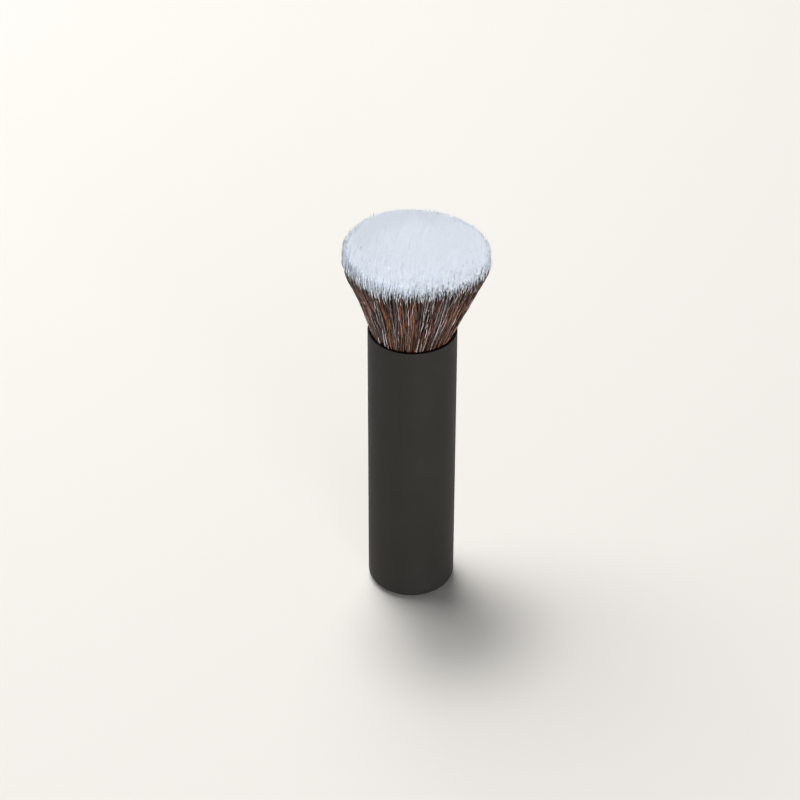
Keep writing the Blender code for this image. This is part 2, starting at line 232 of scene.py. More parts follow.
def softTouchCoat(name, colour, roughness):
    # Soft-touch polyurethane coat sprayed on drawn aluminium: matt warm black with a broad soft highlight,
    # a very fine sprayed grain and faint uneven gloss where it has been held.
    material, tree, shader = newMaterial(name, colour, roughness)
    place = addNode(tree, "TexCoord", {}, {}).outputs["Object"]
    # Grain of sprayed coat is about 0.1 mm; it is drawn at 0.35 mm, which is as fine as the picture shows
    grain = addNode(tree, "TexNoise", {}, {"Vector": place, "Scale": 1 / (0.35 * mm), "Detail": 2.0})
    cloud = addNode(tree, "TexNoise", {}, {"Vector": place, "Scale": 1 / (14 * mm), "Detail": 4.0})
    gloss = addNode(
        tree,
        "MapRange",
        {},
        {"Value": cloud.outputs["Fac"], "From Min": 0.3, "From Max": 0.7, "To Min": 0.5, "To Max": 0.6},
    )
    tint = addNode(
        tree, "ValToRGB", {"stops": [(0.3, "262421"), (0.7, "2A2825")]}, {"Fac": cloud.outputs["Fac"]}
    )
    bump = addNode(
        tree, "Bump", {}, {"Height": grain.outputs["Fac"], "Strength": 0.25, "Distance": 0.02 * mm}
    )
    shader.inputs["Specular IOR Level"].default_value = 0.07
    linkLooks(tree, shader, tint, gloss, bump)
    return material


def handleProfile(size):
    # Outline from the middle of the recess, round the foot and base, up the wall, over the rim, down the bore
    # and back to the axis along the floor. Rings close to the arcs keep the straight wall's shading straight.
    radius, wall, rounding = size["radius"], size["wall"], size["baseRounding"]
    foot = radius - rounding
    recess = foot - size["footWidth"]
    depth = size["footRecess"]
    rim = size["rimRounding"]
    rimLow = size["height"] - rim
    bore = radius - wall
    corner = rounding - wall
    floorTop = depth + size["floor"]
    ring = size["shadeRing"]
    wallRise = np.linspace(rounding + ring, rimLow - ring, size["wallRings"])
    boreFall = np.linspace(rimLow - ring, floorTop + corner + ring, size["boreRings"])
    return joinProfile(
        [
            [[0, depth], [recess - depth - size["shadeRecess"], depth], [recess - depth, depth]],
            [[recess, 0], [recess + size["shadeFoot"], 0], [foot - size["shadeFoot"], 0]],
            arcPoints(foot, rounding, rounding, -90, 0, size["baseSteps"]),
            np.stack([np.full_like(wallRise, radius), wallRise], -1),
            arcPoints(radius - rim, rimLow, rim, 0, 90, size["rimSteps"]),
            arcPoints(bore + rim, rimLow, rim, 90, 180, size["rimSteps"]),
            np.stack([np.full_like(boreFall, bore), boreFall], -1),
            arcPoints(bore - corner, floorTop + corner, corner, 0, -90, size["cornerSteps"]),
            [[bore - corner - ring, floorTop], [0, floorTop]],
        ]
    )


# Weight pad

pad = {
    "radius": 8.2,
    "height": 1.0,
    "edge": 0.25,
    "edgeSteps": 4,
    "shadeRing": 0.1,
    "around": 96,
    "colour": "26262A",
}


def foamSheet(name, colour):
    # Closed-cell polyethylene foam tape, die-cut: dull black with fine open cells on its cut edge.
    material, tree, shader = newMaterial(name, colour, roughness=0.92)
    place = addNode(tree, "TexCoord", {}, {}).outputs["Object"]
    cells = addNode(tree, "TexVoronoi", {}, {"Vector": place, "Scale": 1 / (0.3 * mm)})
    tint = addNode(
        tree, "ValToRGB", {"stops": [(0.0, "141416"), (0.6, "2C2C30")]}, {"Fac": cells.outputs["Distance"]}
    )
    bump = addNode(
        tree, "Bump", {}, {"Height": cells.outputs["Distance"], "Strength": 0.6, "Distance": 0.08 * mm}
    )
    linkLooks(tree, shader, tint, None, bump)
    return material


# Materials of the nodes that stay as they are


def turnedSteel(name, colour):
    # Free-cutting steel bar, turned and bare: grey metal with fine tool lines round the axis that spread its
    # highlight. The lines follow the distance from the axis and the height.
    material, tree, shader = newMaterial(name, colour, roughness=0.32, metallic=1.0)
    place = addNode(tree, "TexCoord", {}, {}).outputs["Object"]
    split = addNode(tree, "SeparateXYZ", {}, {"Vector": place})
    flat = addNode(tree, "CombineXYZ", {}, {"X": split.outputs["X"], "Y": split.outputs["Y"]})
    away = addNode(tree, "VectorMath", {"operation": "LENGTH"}, {0: flat.outputs["Vector"]})
    tool = addNode(tree, "CombineXYZ", {}, {"X": away.outputs["Value"], "Y": split.outputs["Z"]})
    lines = addNode(tree, "TexNoise", {}, {"Vector": tool.outputs["Vector"], "Scale": 1 / (0.12 * mm)})
    gloss = addNode(
        tree,
        "MapRange",
        {},
        {"Value": lines.outputs["Fac"], "From Min": 0.3, "From Max": 0.7, "To Min": 0.24, "To Max": 0.42},
    )
    bump = addNode(tree, "Bump", {}, {"Height": lines.outputs["Fac"], "Strength": 0.4, "Distance": 0.02 * mm})
    linkLooks(tree, shader, None, gloss, bump)
    return material


def mouldedPlastic(name, colour):
    # Injection-moulded ABS from a spark-eroded tool: black with an even fine grain and a dull sheen.
    material, tree, shader = newMaterial(name, colour, roughness=0.45)
    place = addNode(tree, "TexCoord", {}, {}).outputs["Object"]
    grain = addNode(tree, "TexNoise", {}, {"Vector": place, "Scale": 1 / (0.18 * mm), "Detail": 2.0})
    tint = addNode(
        tree, "ValToRGB", {"stops": [(0.35, "28292B"), (0.65, "2E2F31")]}, {"Fac": grain.outputs["Fac"]}
    )
    bump = addNode(
        tree, "Bump", {}, {"Height": grain.outputs["Fac"], "Strength": 0.35, "Distance": 0.02 * mm}
    )
    linkLooks(tree, shader, tint, None, bump)
    return material


def drawnAluminium(name, colour):
    # Deep-drawn aluminium, satin: pale grey metal with faint lines along the draw, which is upright.
    material, tree, shader = newMaterial(name, colour, roughness=0.34, metallic=1.0)
    place = addNode(tree, "TexCoord", {}, {}).outputs["Object"]
    drawn = addNode(tree, "VectorMath", {"operation": "MULTIPLY"}, {0: place, 1: (1.0, 1.0, 0.03)})
    lines = addNode(tree, "TexNoise", {}, {"Vector": drawn.outputs["Vector"], "Scale": 1 / (0.15 * mm)})
    gloss = addNode(
        tree,
        "MapRange",
        {},
        {"Value": lines.outputs["Fac"], "From Min": 0.3, "From Max": 0.7, "To Min": 0.28, "To Max": 0.42},
    )
    bump = addNode(
        tree, "Bump", {}, {"Height": lines.outputs["Fac"], "Strength": 0.25, "Distance": 0.01 * mm}
    )
    linkLooks(tree, shader, None, gloss, bump)
    return material


def setEpoxy(name, colour):
    # Cast epoxy, set in place: glossy amber, cloudier where air was stirred in.
    material, tree, shader = newMaterial(name, colour, roughness=0.18)
    place = addNode(tree, "TexCoord", {}, {}).outputs["Object"]
    cloud = addNode(tree, "TexNoise", {}, {"Vector": place, "Scale": 1 / (2.5 * mm), "Detail": 4.0})
    tint = addNode(
        tree, "ValToRGB", {"stops": [(0.35, "B98F4A"), (0.7, "D6BC83")]}, {"Fac": cloud.outputs["Fac"]}
    )
    linkLooks(tree, shader, tint)
    return material


# Bonded root of the tuft

boundRoot = {
    "radius": 8.87,
    "height": 6.2,
    "edge": 0.3,
    "edgeSteps": 4,
    "shadeRing": 0.1,
    "around": 96,
    "colour": "3A2A20",
}


def soakedRoot(name, colour):
    # Fibre ends soaked in epoxy and trimmed flat: glossy dark resin with a paler dot for each fibre end.
    material, tree, shader = newMaterial(name, colour, roughness=0.3)
    place = addNode(tree, "TexCoord", {}, {}).outputs["Object"]
    ends = addNode(tree, "VectorMath", {"operation": "MULTIPLY"}, {0: place, 1: (1.0, 1.0, 0.05)})
    dots = addNode(tree, "TexVoronoi", {}, {"Vector": ends.outputs["Vector"], "Scale": 1 / (0.25 * mm)})
    tint = addNode(
        tree, "ValToRGB", {"stops": [(0.1, "5A4030"), (0.5, "241A14")]}, {"Fac": dots.outputs["Distance"]}
    )
    linkLooks(tree, shader, tint)
    return material


# Thread round the root

thread = {
    "wireRadius": 0.3,
    "plies": 3,
    "plyDepth": 0.16,  # share of the radius by which the plies stand proud
    "plyLay": 1.6,  # mm along the thread for one turn of the plies
    "turns": 4,
    "stepsPerTurn": 120,
    "taperSteps": 6,  # steps over which each end grows to the full radius
    "around": 12,
    "colour": "D8D2C4",
}


def waxedThread(name, colour):
    # Waxed polyester thread, three plies twisted: cream, slightly glossy on the plies, darker between them.
    material, tree, shader = newMaterial(name, colour, roughness=0.5)
    place = addNode(tree, "TexCoord", {}, {}).outputs["Object"]
    fuzz = addNode(tree, "TexNoise", {}, {"Vector": place, "Scale": 1 / (0.2 * mm), "Detail": 3.0})
    tint = addNode(
        tree, "ValToRGB", {"stops": [(0.35, "BFB6A2"), (0.65, "E2DCCD")]}, {"Fac": fuzz.outputs["Fac"]}
    )
    bump = addNode(tree, "Bump", {}, {"Height": fuzz.outputs["Fac"], "Strength": 0.5, "Distance": 0.03 * mm})
    linkLooks(tree, shader, tint, None, bump)
    return material


def threadPiece(name, size, box, material):
    # A helix (r cos a, r sin a, rise times a), from one wire radius above the node's lowest point to one
    # below its highest. The wire's own radius is w (1 + depth (cos(plies (b - twist)) - 1)), where b is the
    # angle round it. Both ends taper to nothing, as the square root of the way from the end.
    wire = size["wireRadius"]
    around = size["around"]
    radius = box[1].x / mm - wire
    low, high = box[0].z / mm + wire, box[1].z / mm - wire
    count = size["turns"] * size["stepsPerTurn"]
    along = np.linspace(0, 1, count + 1)
    turn = 2 * np.pi * size["turns"] * along
    outward = np.stack([np.cos(turn), np.sin(turn), np.zeros_like(turn)], -1)
    middle = outward * radius + np.array([0, 0, 1]) * (low + (high - low) * along)[:, None]
    ahead = np.gradient(middle, axis=0)
    distance = np.cumsum(np.linalg.norm(ahead, axis=1))
    ahead /= np.linalg.norm(ahead, axis=1)[:, None]
    upward = np.cross(ahead, outward)
    angle = np.linspace(0, 2 * np.pi, around, endpoint=False)
    twist = 2 * np.pi * distance[:, None] / size["plyLay"]
    proud = 1 + size["plyDepth"] * (np.cos(size["plies"] * (angle - twist)) - 1)
    fade = np.clip(np.minimum(along, 1 - along) * count / size["taperSteps"], 0, 1) ** 0.5
    reach = (wire * proud * fade[:, None])[1:-1, :, None]
    out = np.cos(angle)[None, :, None] * outward[1:-1, None]
    down = np.sin(angle)[None, :, None] * upward[1:-1, None]
    points = (middle[1:-1, None] + reach * (out - down)).reshape(-1, 3)
    faces = closedFaces(count - 1, around)
    return makePiece(name, np.concatenate([points, middle[:1], middle[-1:]]), faces, material)


# Tuft: where its fibres stand, how they vary, what shape they follow and how they are dyed.
# Heights are in mm from the rim, and shares of the radius are from the axis to the edge of the head.

tuft = {
    "seed": 7,
    # The filling, which closes the crown
    "filling": {
        "wisps": 5280,
        "each": 8,  # fibres in a wisp
        "reach": 0.8,  # share of the wisps' spacing that their fibres spread over
        "edge": 0.968,  # share of the radius that it reaches
        "jitter": 0.25,  # share of the spacing by which wisps stand off their even places
        "skin": 0.06,  # share of the radius over which fibres turn from outer to inner ones
        "dye": 0.62,  # share of the dyes that the outer fibres have, from the darkest
        "darker": 0.42,  # how much less of them the inner ones have, as painted shade under the surface
        "thicker": 0.4,  # fibres in the middle are thicker, so that they close the crown
        "thickTo": 0.93,
        "thickFade": 0.1,
        "lowWispShade": 3,  # columns of an eight by which lower wisps at the front are greyer in their white, as painted shade
        "lowWispShadeMost": 6,
        "lowWispShadeFrom": 0.75,
        "dipFrom": 0.86,  # outside this share of the radius the dip ends higher, up to dipInside: painted shade in gaps
        "dipOuter": 0.45,  # share of that rise on the outer fibres
        "dipMiddle": -3,  # mm of rise nearer the axis, where no side shows
    },
    # Two coats of fibres round the filling: dark ones, and brighter, thicker and freer ones over them. The
    # dark coat's dip ends higher, as painted shade between the outer wisps, and the bright coat takes the
    # palest dyes, which are partly painted highlight. Their tips end lower, so the sides of the white tips
    # show round the crown.
    "coats": [
        {
            "wisps": 760,
            "each": 2,
            "reach": 0.16,  # mm that the fibres of a wisp spread over
            "from": 0.964,  # shares of the radius between which it stands
            "to": 0.98,
            "thick": 0.95,
            "stray": 0.0,  # how far its fibres stray outwards
            "dye": (0.0, 0.62),  # shares of the dyes that it takes
            "mixed": 0.6,  # how unlike the fibres of a wisp are dyed
            "darker": 1.3,  # the power that favours the darker dyes
            "dip": 1.2,  # mm that its dip ends higher, as painted shade between the outer wisps
            "drift": 0.06,  # how far its fibres slant, in radians round the axis
            "short": 0.6,  # mm that its tips are lower
        },
        {
            "wisps": 330,
            "each": 3,
            "reach": 0.12,
            "from": 0.984,
            "to": 0.998,
            "thick": 1.0,
            "stray": 0.7,
            "dye": (0.12, 1.0),
            "mixed": 0.8,
            "darker": 1.4,
            "dip": 0.0,
            "drift": 0.09,
            "short": 0.9,
        },
    ],
    "coatJitter": 1.6,  # share of the spacing by which wisps of a coat stand off their even places
    "shortLeast": 0.4,  # share of its coat's shortness that every fibre has
    # How wisps and fibres vary: a spread, or the least and the most
    "offsetSpread": 0.15,
    "locks": 420,  # groups of wisps, some of which share a dye
    "lockShare": 0.25,
    "lockSpread": 0.08,
    "dyeSpread": 0.16,
    "tipScatter": 0.2,
    "dipSpread": 0.5,
    "highDips": (0.22, 0.5, 3.0),  # wisps that draw less than the first dip higher, by so many mm
    "lowDips": (0.86, 0.5, 2.4),  # and those that draw more than the first dip lower
    "tuckRange": (0.4, 1.6),
    "wispDrift": 0.03,
    "fibreDrift": 0.015,
    "phaseSpread": 0.7,
    "waveRange": (0.8, 3.4),
    "crimpRange": (4, 8),
    "crimpSizes": (0.2, 1.8),
    "thickRange": (0.8, 1.15),
    # How uneven the tips are, of 1 at the front: at the sides, the rise from there to the front, the least
    "frontSide": 0.32,
    "frontRise": 0.8,
    "frontLeast": 0.12,
    "nearAxis": 0.1,  # inside this share of the radius a wisp faces no side fully
    # The shape
    "rootHeight": -7.6,
    "neckRadius": 11.45,
    "splay": 0.4155,
    "hollow": 0.55,  # mm that the flare is drawn in half-way up
    "headRadius": 20.6,
    "softness": 0.5,  # how softly the flare turns upright at the head
    "crown": 28.7,
    "crownDrop": 1.3,
    "crownTilt": 1.0,  # mm that the crown's +X edge is lower than its middle
    "lean": 1.1,  # mm to +X at the crown
    "edgeFrom": 0.35,  # outside this share of the radius the tips are uneven, drawn together and bent in
    "edgeSpan": 0.6,
    "wispShort": 1.9,  # mm that the tips of wisps are lower there
    "gatherTips": 0.72,  # how far wisps draw together at their tips there
    "gatherMiddle": 0.35,  # how far all wisps draw together half-way up
    "tuck": 1.3,  # mm that the tips at the edge bend in towards the axis
    "tuckHeight": 22.5,
    "tuckMost": 1.1,
    "strayOut": 0.05,  # share of the radius by which the most stray fibre leans out
    "driftFrom": 0.35,  # share of the height about which a fibre slants
    # The path and thickness of a fibre
    "wave": 0.2,
    "crimp": 0.13,
    "crimpOut": 0.6,  # share of the crimp that goes in and out
    "weave": 0.25,
    "weaveRate": 0.8,
    "swayEase": 2,  # mm, keeps fibres by the axis from swaying round it
    "fibreRadius": 0.085,
    "tipThin": 0.6,  # share of its radius that a fibre loses towards its tip, from this share of its height
    "tipFrom": 0.8,
    "tipSpan": 0.2,
    # The dip
    "dipHeight": 23.2,
    "dipInside": 25.0,
    # Where round the head the dip ends higher or lower: degrees from the front to +X, spread in degrees, mm
    "dipBumps": [(31, 14, 4.6), (-34, 26, -1.3), (180, 60, -1.4), (-180, 60, -1.4)],
    "leastWhite": 1.5,  # every fibre is white at least this far down from its tip
    "fullWhite": 5.0,  # every fibre has at least so much of the map above its dip
    # The fibres' map: u holds the columns of dye, and v the height, with the dip's end at mapDip
    "columns": 128,
    "eight": 8,  # columns of one dye, over which the dip's end gets softer and its white greyer
    "mapSpan": 44.0,
    "mapDip": 36.0,
    "footSliver": 0.004,  # height on the map of the triangle at a fibre's foot
    # The look, with heights in mm from where the dip ends on a fibre
    # The palest dyes stand partly for pale fibres and partly as painted highlight, for glints along the
    # fibres
    "dyesAndGlints": [
        (0.0, "0E0B0A"),
        (0.3, "17110F"),
        (0.42, "452C21"),
        (0.56, "70422B"),
        (0.68, "A46036"),
        (0.74, "5C4D46"),
        (0.86, "847A77"),
        (0.95, "BEB5B5"),
        (1.0, "F2EDF0"),
    ],
    # The next two darken the dye towards the dip, as painted shade for the shadow under the white tips
    "dipShadeSpan": (-9.0, -1.0),
    "dipShadeDarkest": 0.68,
    "whiteFrom": -0.5,
    "whiteFull": (0.4, 5.5),  # on the first and the last column of an eight
    "whiteColour": "FBFEFF",
    # The tip colour is darker and bluer than the white, as painted shade on the crown's top
    "shadedTipColour": "F0F6FE",
    "tipBlend": (0.5, 2.5),
    # The next three grey the white of the last columns of an eight: thin white on the coats, painted shade on
    # the filling
    "thinAndShadedWhite": "A8B4C8",
    "greyFades": (2.5, 5.0),
    "greyLeft": 0.4,
}


def mapHeight(size, above):
    # Height on the fibres' map of a place so many mm above where the dip ends
    return size["mapDip"] / size["mapSpan"] + above / size["mapSpan"]


def dippedFibre(name, size):
    # Extruded polyester fibre, tapered, dyed in several browns and dipped in white at the tips: glossy
    # copper, brown, black and grey streaks under soft bluish white, with painted shade towards the dip and on
    # the tips, and painted highlight in the palest dyes. On its map u is the dye and v is the height from
    # where the dip ends on that fibre.
    material, tree, shader = newMaterial(name, "4A3228", roughness=0.4)
    place = addNode(tree, "UVMap", {"uv_map": "fibreMap"}, {})
    split = addNode(tree, "SeparateXYZ", {}, {"Vector": place.outputs["UV"]})
    dye = addNode(tree, "ValToRGB", {"stops": size["dyesAndGlints"]}, {"Fac": split.outputs["X"]})
    # Painted shade: the dye is darkened towards the dip, for the shadow under the white tips
    shade = addNode(
        tree,
        "MapRange",
        {},
        {
            "Value": split.outputs["Y"],
            "From Min": mapHeight(size, size["dipShadeSpan"][0]),
            "From Max": mapHeight(size, size["dipShadeSpan"][1]),
            "To Min": 1.0,
            "To Max": size["dipShadeDarkest"],
        },
    )
    dark = addNode(
        tree,
        "VectorMath",
        {"operation": "SCALE"},
        {0: dye.outputs["Color"], "Scale": shade.outputs["Result"]},
    )
    # The columns go in eights: the dip ends sharply on the first of them and softly on the last, by the
    # square of the place in the eight
    eights = addNode(
        tree, "Math", {"operation": "MULTIPLY"}, {0: split.outputs["X"], 1: size["columns"] / size["eight"]}
    )
    rest = addNode(tree, "Math", {"operation": "FRACT"}, {0: eights.outputs[0]})
    bent = addNode(tree, "Math", {"operation": "POWER"}, {0: rest.outputs[0], 1: 2.0})
    full = addNode(
        tree,
        "MapRange",
        {},
        {
            "Value": bent.outputs[0],
            "To Min": mapHeight(size, size["whiteFull"][0]),
            "To Max": mapHeight(size, size["whiteFull"][1]),
        },
    )
    white = addNode(
        tree,
        "MapRange",
        {"interpolation_type": "SMOOTHSTEP"},
        {
            "Value": split.outputs["Y"],
            "From Min": mapHeight(size, size["whiteFrom"]),
            "From Max": full.outputs["Result"],
        },
    )
    # Painted shade: the tips are drawn darker and bluer than the white below them, so the crown's top reads
    # darker than its sides
    tips = addNode(
        tree,
        "MapRange",
        {},
        {
            "Value": split.outputs["Y"],
            "From Min": mapHeight(size, size["tipBlend"][0]),
            "From Max": mapHeight(size, size["tipBlend"][1]),
        },
    )
    pale = addNode(
        tree,
        "Mix",
        {"data_type": "RGBA"},
        {0: tips.outputs["Result"], 6: linear(size["whiteColour"]), 7: linear(size["shadedTipColour"])},
    )
    # The last columns of an eight are also greyer, and less so at the tip: on the coats as thin white over
    # the dye, and on the lower filling wisps, which take them, as painted shade
    ends = addNode(
        tree,
        "MapRange",
        {},
        {
            "Value": split.outputs["Y"],
            "From Min": mapHeight(size, size["greyFades"][0]),
            "From Max": mapHeight(size, size["greyFades"][1]),
            "To Min": 1.0,
            "To Max": size["greyLeft"],
        },
    )
    greying = addNode(
        tree, "Math", {"operation": "MULTIPLY"}, {0: bent.outputs[0], 1: ends.outputs["Result"]}
    )
    thinDipAndShade = addNode(
        tree,
        "Mix",
        {"data_type": "RGBA"},
        {0: greying.outputs[0], 6: pale.outputs[2], 7: linear(size["thinAndShadedWhite"])},
    )
    colour = addNode(
        tree,
        "Mix",
        {"data_type": "RGBA"},
        {0: white.outputs["Result"], 6: dark.outputs["Vector"], 7: thinDipAndShade.outputs[2]},
    )
    # The dip is more matt than the dye
    rough = addNode(tree, "MapRange", {}, {"Value": white.outputs["Result"], "To Min": 0.38, "To Max": 0.6})
    shader.inputs["Specular IOR Level"].default_value = 0.3
    tree.links.new(colour.outputs[2], shader.inputs["Base Color"])
    tree.links.new(rough.outputs["Result"], shader.inputs["Roughness"])
    return material


def hollowAt(size, z):
    # The hollow times the sine of a half turn from the rim to the crown
    return size["hollow"] * np.sin(np.pi * np.clip(z / size["crown"], 0, 1))


def headRadius(size, z):
    # The flare is a straight line, neck + splay z. It levels off at the head's radius H by a smooth minimum:
    # H - s log(1 + exp((H - line) / s)). Half-way up it is drawn in, by the hollow.
    line = size["neckRadius"] + size["splay"] * z
    level = np.logaddexp(0, (size["headRadius"] - line) / size["softness"])
    return size["headRadius"] - size["softness"] * level - hollowAt(size, z)


def spiral(count):
    # Sunflower spiral in a disc of radius 1: point k lies at radius sqrt((k + 0.5) / count) and turns by the
    # golden angle from the one before it, so the points cover the disc evenly
    k = np.arange(count)
    radius = np.sqrt((k + 0.5) / count)
    turn = k * np.pi * (3 - np.sqrt(5))
    return np.stack([radius * np.cos(turn), radius * np.sin(turn)], -1)


def wispsOf(chance, centre, each, reach, size):
    # Fibres round each wisp's centre on a small turned spiral, with what the wisp's fibres share
    wisps = len(centre)
    count = wisps * each
    owner = np.repeat(np.arange(wisps), each)
    turn = chance.uniform(0, 2 * np.pi, wisps)[owner]
    petal = np.tile(spiral(each), (wisps, 1))
    offsetX = petal[:, 0] * np.cos(turn) - petal[:, 1] * np.sin(turn)
    offsetY = petal[:, 0] * np.sin(turn) + petal[:, 1] * np.cos(turn)
    offset = np.stack([offsetX, offsetY], -1) + chance.normal(0, size["offsetSpread"], (count, 2))
    locks = spiral(size["locks"])
    nearest = np.argmin(((centre[:, None] - locks[None]) ** 2).sum(-1), axis=1)
    lockDye = chance.random(len(locks))[nearest] + chance.normal(0, size["lockSpread"], wisps)
    wispDye = np.where(chance.random(wisps) < size["lockShare"], lockDye, chance.random(wisps))
    extra = chance.random(wisps)
    wispDip = chance.normal(0, size["dipSpread"], wisps)
    under, least, most = size["highDips"]
    wispDip += np.where(extra < under, chance.uniform(least, most, wisps), 0)
    over, least, most = size["lowDips"]
    wispDip -= np.where(extra > over, chance.uniform(least, most, wisps), 0)
    # A bump of the dip is a bell curve of the angle round the head
    facing = np.degrees(np.arctan2(centre[:, 0], -centre[:, 1]))
    for middle, spread, rise in size["dipBumps"]:
        wispDip += rise * np.exp(-(((facing - middle) / spread) ** 2))
    ahead = -centre[:, 1] / np.maximum(np.linalg.norm(centre, axis=1), size["nearAxis"])
    front = np.clip(size["frontSide"] + size["frontRise"] * ahead, size["frontLeast"], 1)
    return {
        "centre": centre[owner],
        "front": front[owner],
        "offset": offset * reach,
        "dye": wispDye[owner] + chance.normal(0, size["dyeSpread"], count),
        "tip": chance.normal(0, size["tipScatter"], count),
        "wispTip": np.abs(chance.normal(0, 1, wisps))[owner],
        "tuck": chance.uniform(*size["tuckRange"], wisps)[owner],
        "dip": size["dipHeight"] + wispDip[owner] + chance.normal(0, size["dipSpread"], count),
        "drift": chance.normal(0, size["wispDrift"], wisps)[owner]
        + chance.normal(0, size["fibreDrift"], count),
        "wavePhase": chance.uniform(0, 2 * np.pi, wisps)[owner]
        + chance.normal(0, size["phaseSpread"], count),
        "waveCount": chance.uniform(*size["waveRange"], wisps)[owner],
        "crimpPhase": chance.uniform(0, 2 * np.pi, count),
        "crimpCount": chance.uniform(*size["crimpRange"], count),
        "crimpSize": chance.uniform(*size["crimpSizes"], count),
        "stray": np.zeros(count),
        "thick": chance.uniform(*size["thickRange"], count),
        "turn": chance.uniform(0, 2 * np.pi, count),
    }


def foldedShare(value, most=0.999):
    # A value outside 0 to 1 is folded back in at the ends, and stays just under 1
    return np.clip(1 - np.abs(1 - np.abs(value) % 2), 0, most)


def growFilling(chance, size):
    # Wisps on a spiral over the disc. Fibres under the surface are darker and their dip ends higher, as
    # painted shade, so gaps in the surface look dark. A fibre takes the first column of an eight, where the
    # dip ends sharply. Wisps with lower tips take a later one, with greyer white as painted shade, by the
    # square of how far in front they are.
    filling = size["filling"]
    spacing = np.sqrt(np.pi / filling["wisps"])
    centre = spiral(filling["wisps"]) * filling["edge"]
    centre += chance.normal(0, filling["jitter"] * spacing, centre.shape)
    fill = wispsOf(chance, centre, filling["each"], filling["reach"] * spacing, size)
    away = np.linalg.norm(fill["centre"], axis=1)
    depth = np.clip((1 - away) / filling["skin"], 0, 1)
    middle = np.clip((filling["thickTo"] - away) / filling["thickFade"], 0, 1)
    fill["thick"] *= 1 + filling["thicker"] * middle
    later = np.floor(filling["lowWispShade"] * fill["wispTip"] * fill["front"] ** 2)
    later = np.clip(later, 0, filling["lowWispShadeMost"]) * (away > filling["lowWispShadeFrom"])
    eights = size["columns"] / size["eight"]
    eighth = np.floor(foldedShare(fill["dye"]) * (filling["dye"] - filling["darker"] * depth) * eights)
    fill["dye"] = (eighth + later / size["eight"]) / eights
    rise = filling["dipOuter"] + (1 - filling["dipOuter"]) * depth
    raised = (size["dipInside"] - size["dipHeight"]) * rise
    fill["dip"] += np.where(away > filling["dipFrom"], raised, filling["dipMiddle"])
    fill["coat"] = np.zeros(len(away))
    return fill


def growCoat(chance, size, coat, number):
    # Wisps at random angles round the filling. The dye is folded into 0 to 1 and raised to a power, which
    # leaves few bright fibres, and the cube keeps most fibres from straying.
    wisps = coat["wisps"]
    count = wisps * coat["each"]
    angle = 2 * np.pi * (np.arange(wisps) + chance.uniform(0, size["coatJitter"], wisps)) / wisps
    out = chance.uniform(coat["from"], coat["to"], wisps)
    centre = np.stack([out * np.cos(angle), out * np.sin(angle)], -1)
    surface = wispsOf(chance, centre, coat["each"], coat["reach"] / size["headRadius"], size)
    surface["drift"] += chance.normal(0, coat["drift"], count)
    surface["tip"] -= coat["short"] * (size["shortLeast"] + np.abs(chance.normal(0, 1, count)))
    surface["thick"] *= coat["thick"]
    surface["stray"] = coat["stray"] * chance.uniform(0, 1, count) ** 3
    surface["dye"] += chance.normal(0, coat["mixed"], count)
    share = foldedShare(surface["dye"]) ** coat["darker"]
    darkest, brightest = coat["dye"]
    surface["dye"] = share * (brightest - darkest) + darkest
    surface["dip"] += coat["dip"]
    surface["coat"] = np.full(count, number)
    return surface


def growFibres(size):
    # All fibres of the tuft as arrays with one value each: the filling, then the coats
    chance = np.random.default_rng(size["seed"])
    parts = [growFilling(chance, size)]
    for number, coat in enumerate(size["coats"], 1):
        parts.append(growCoat(chance, size, coat, number))
    return {key: np.concatenate([part[key] for part in parts]) for key in parts[0]}


def fibrePaths(size, own, t):
    # Where each fibre is at share t of its height. The tips follow the crown: its height, less the drop
    # times the fourth power of the distance from the axis, less the tilt times the place along X. z goes
    # evenly from the root to the tip, and the place is the flare's radius at z times the fibre's place in the
    # disc. Fibres of a wisp draw together half-way up. A slow sine wave and a short crimp sway each round the
    # axis and move it in and out, so that it passes over and under its neighbours. Towards the edge of the
    # crown the tips bend in, and at the front they are uneven and drawn together. The lean grows with the
    # square of the height. The hollow moves fibres to +X as well, so it shows at -X and not at +X.
    disc = own["centre"] + own["offset"]
    rho = np.clip(np.linalg.norm(disc, axis=1), 0, 1)
    edge = np.clip((rho - size["edgeFrom"]) / size["edgeSpan"], 0, 1)
    uneven = edge * own["front"]
    tip = size["crown"] - size["crownDrop"] * rho**4 - size["crownTilt"] * disc[:, 0] + own["tip"]
    tip -= size["wispShort"] * own["wispTip"] * uneven
    z = size["rootHeight"] + (tip[:, None] - size["rootHeight"]) * t
    gather = 1 - size["gatherMiddle"] * np.sin(np.pi * t**1.3)
    gather = gather - size["gatherTips"] * uneven[:, None] * t**4
    placeX = own["centre"][:, :1] + own["offset"][:, :1] * gather
    placeY = own["centre"][:, 1:] + own["offset"][:, 1:] * gather
    away = np.minimum(np.hypot(placeX, placeY), 1) * (1 + size["strayOut"] * own["stray"][:, None] * t**2)
    flare = headRadius(size, z)
    wave = 2 * np.pi * own["waveCount"][:, None] * t + own["wavePhase"][:, None]
    crimp = 2 * np.pi * own["crimpCount"][:, None] * t + own["crimpPhase"][:, None]
    crimpSize = size["crimp"] * own["crimpSize"][:, None]
    sway = (size["wave"] * np.sin(wave) + crimpSize * np.sin(crimp)) * t
    drift = own["drift"][:, None] * (t - size["driftFrom"])
    angle = np.arctan2(placeY, placeX) + drift + sway / (away * flare + size["swayEase"])
    weave = size["weave"] * np.sin(size["weaveRate"] * wave + own["crimpPhase"][:, None]) * np.sin(np.pi * t)
    reach = away * (flare + weave + size["crimpOut"] * crimpSize * np.cos(crimp) * t)
    upper = np.clip((z - size["tuckHeight"]) / (size["crown"] - size["tuckHeight"]), 0, size["tuckMost"])
    reach -= (size["tuck"] * own["tuck"] * edge)[:, None] * upper**2
    lean = size["lean"] * np.clip(z / size["crown"], 0, 1) ** 2 + hollowAt(size, z)
    return reach * np.cos(angle) + lean, reach * np.sin(angle), z


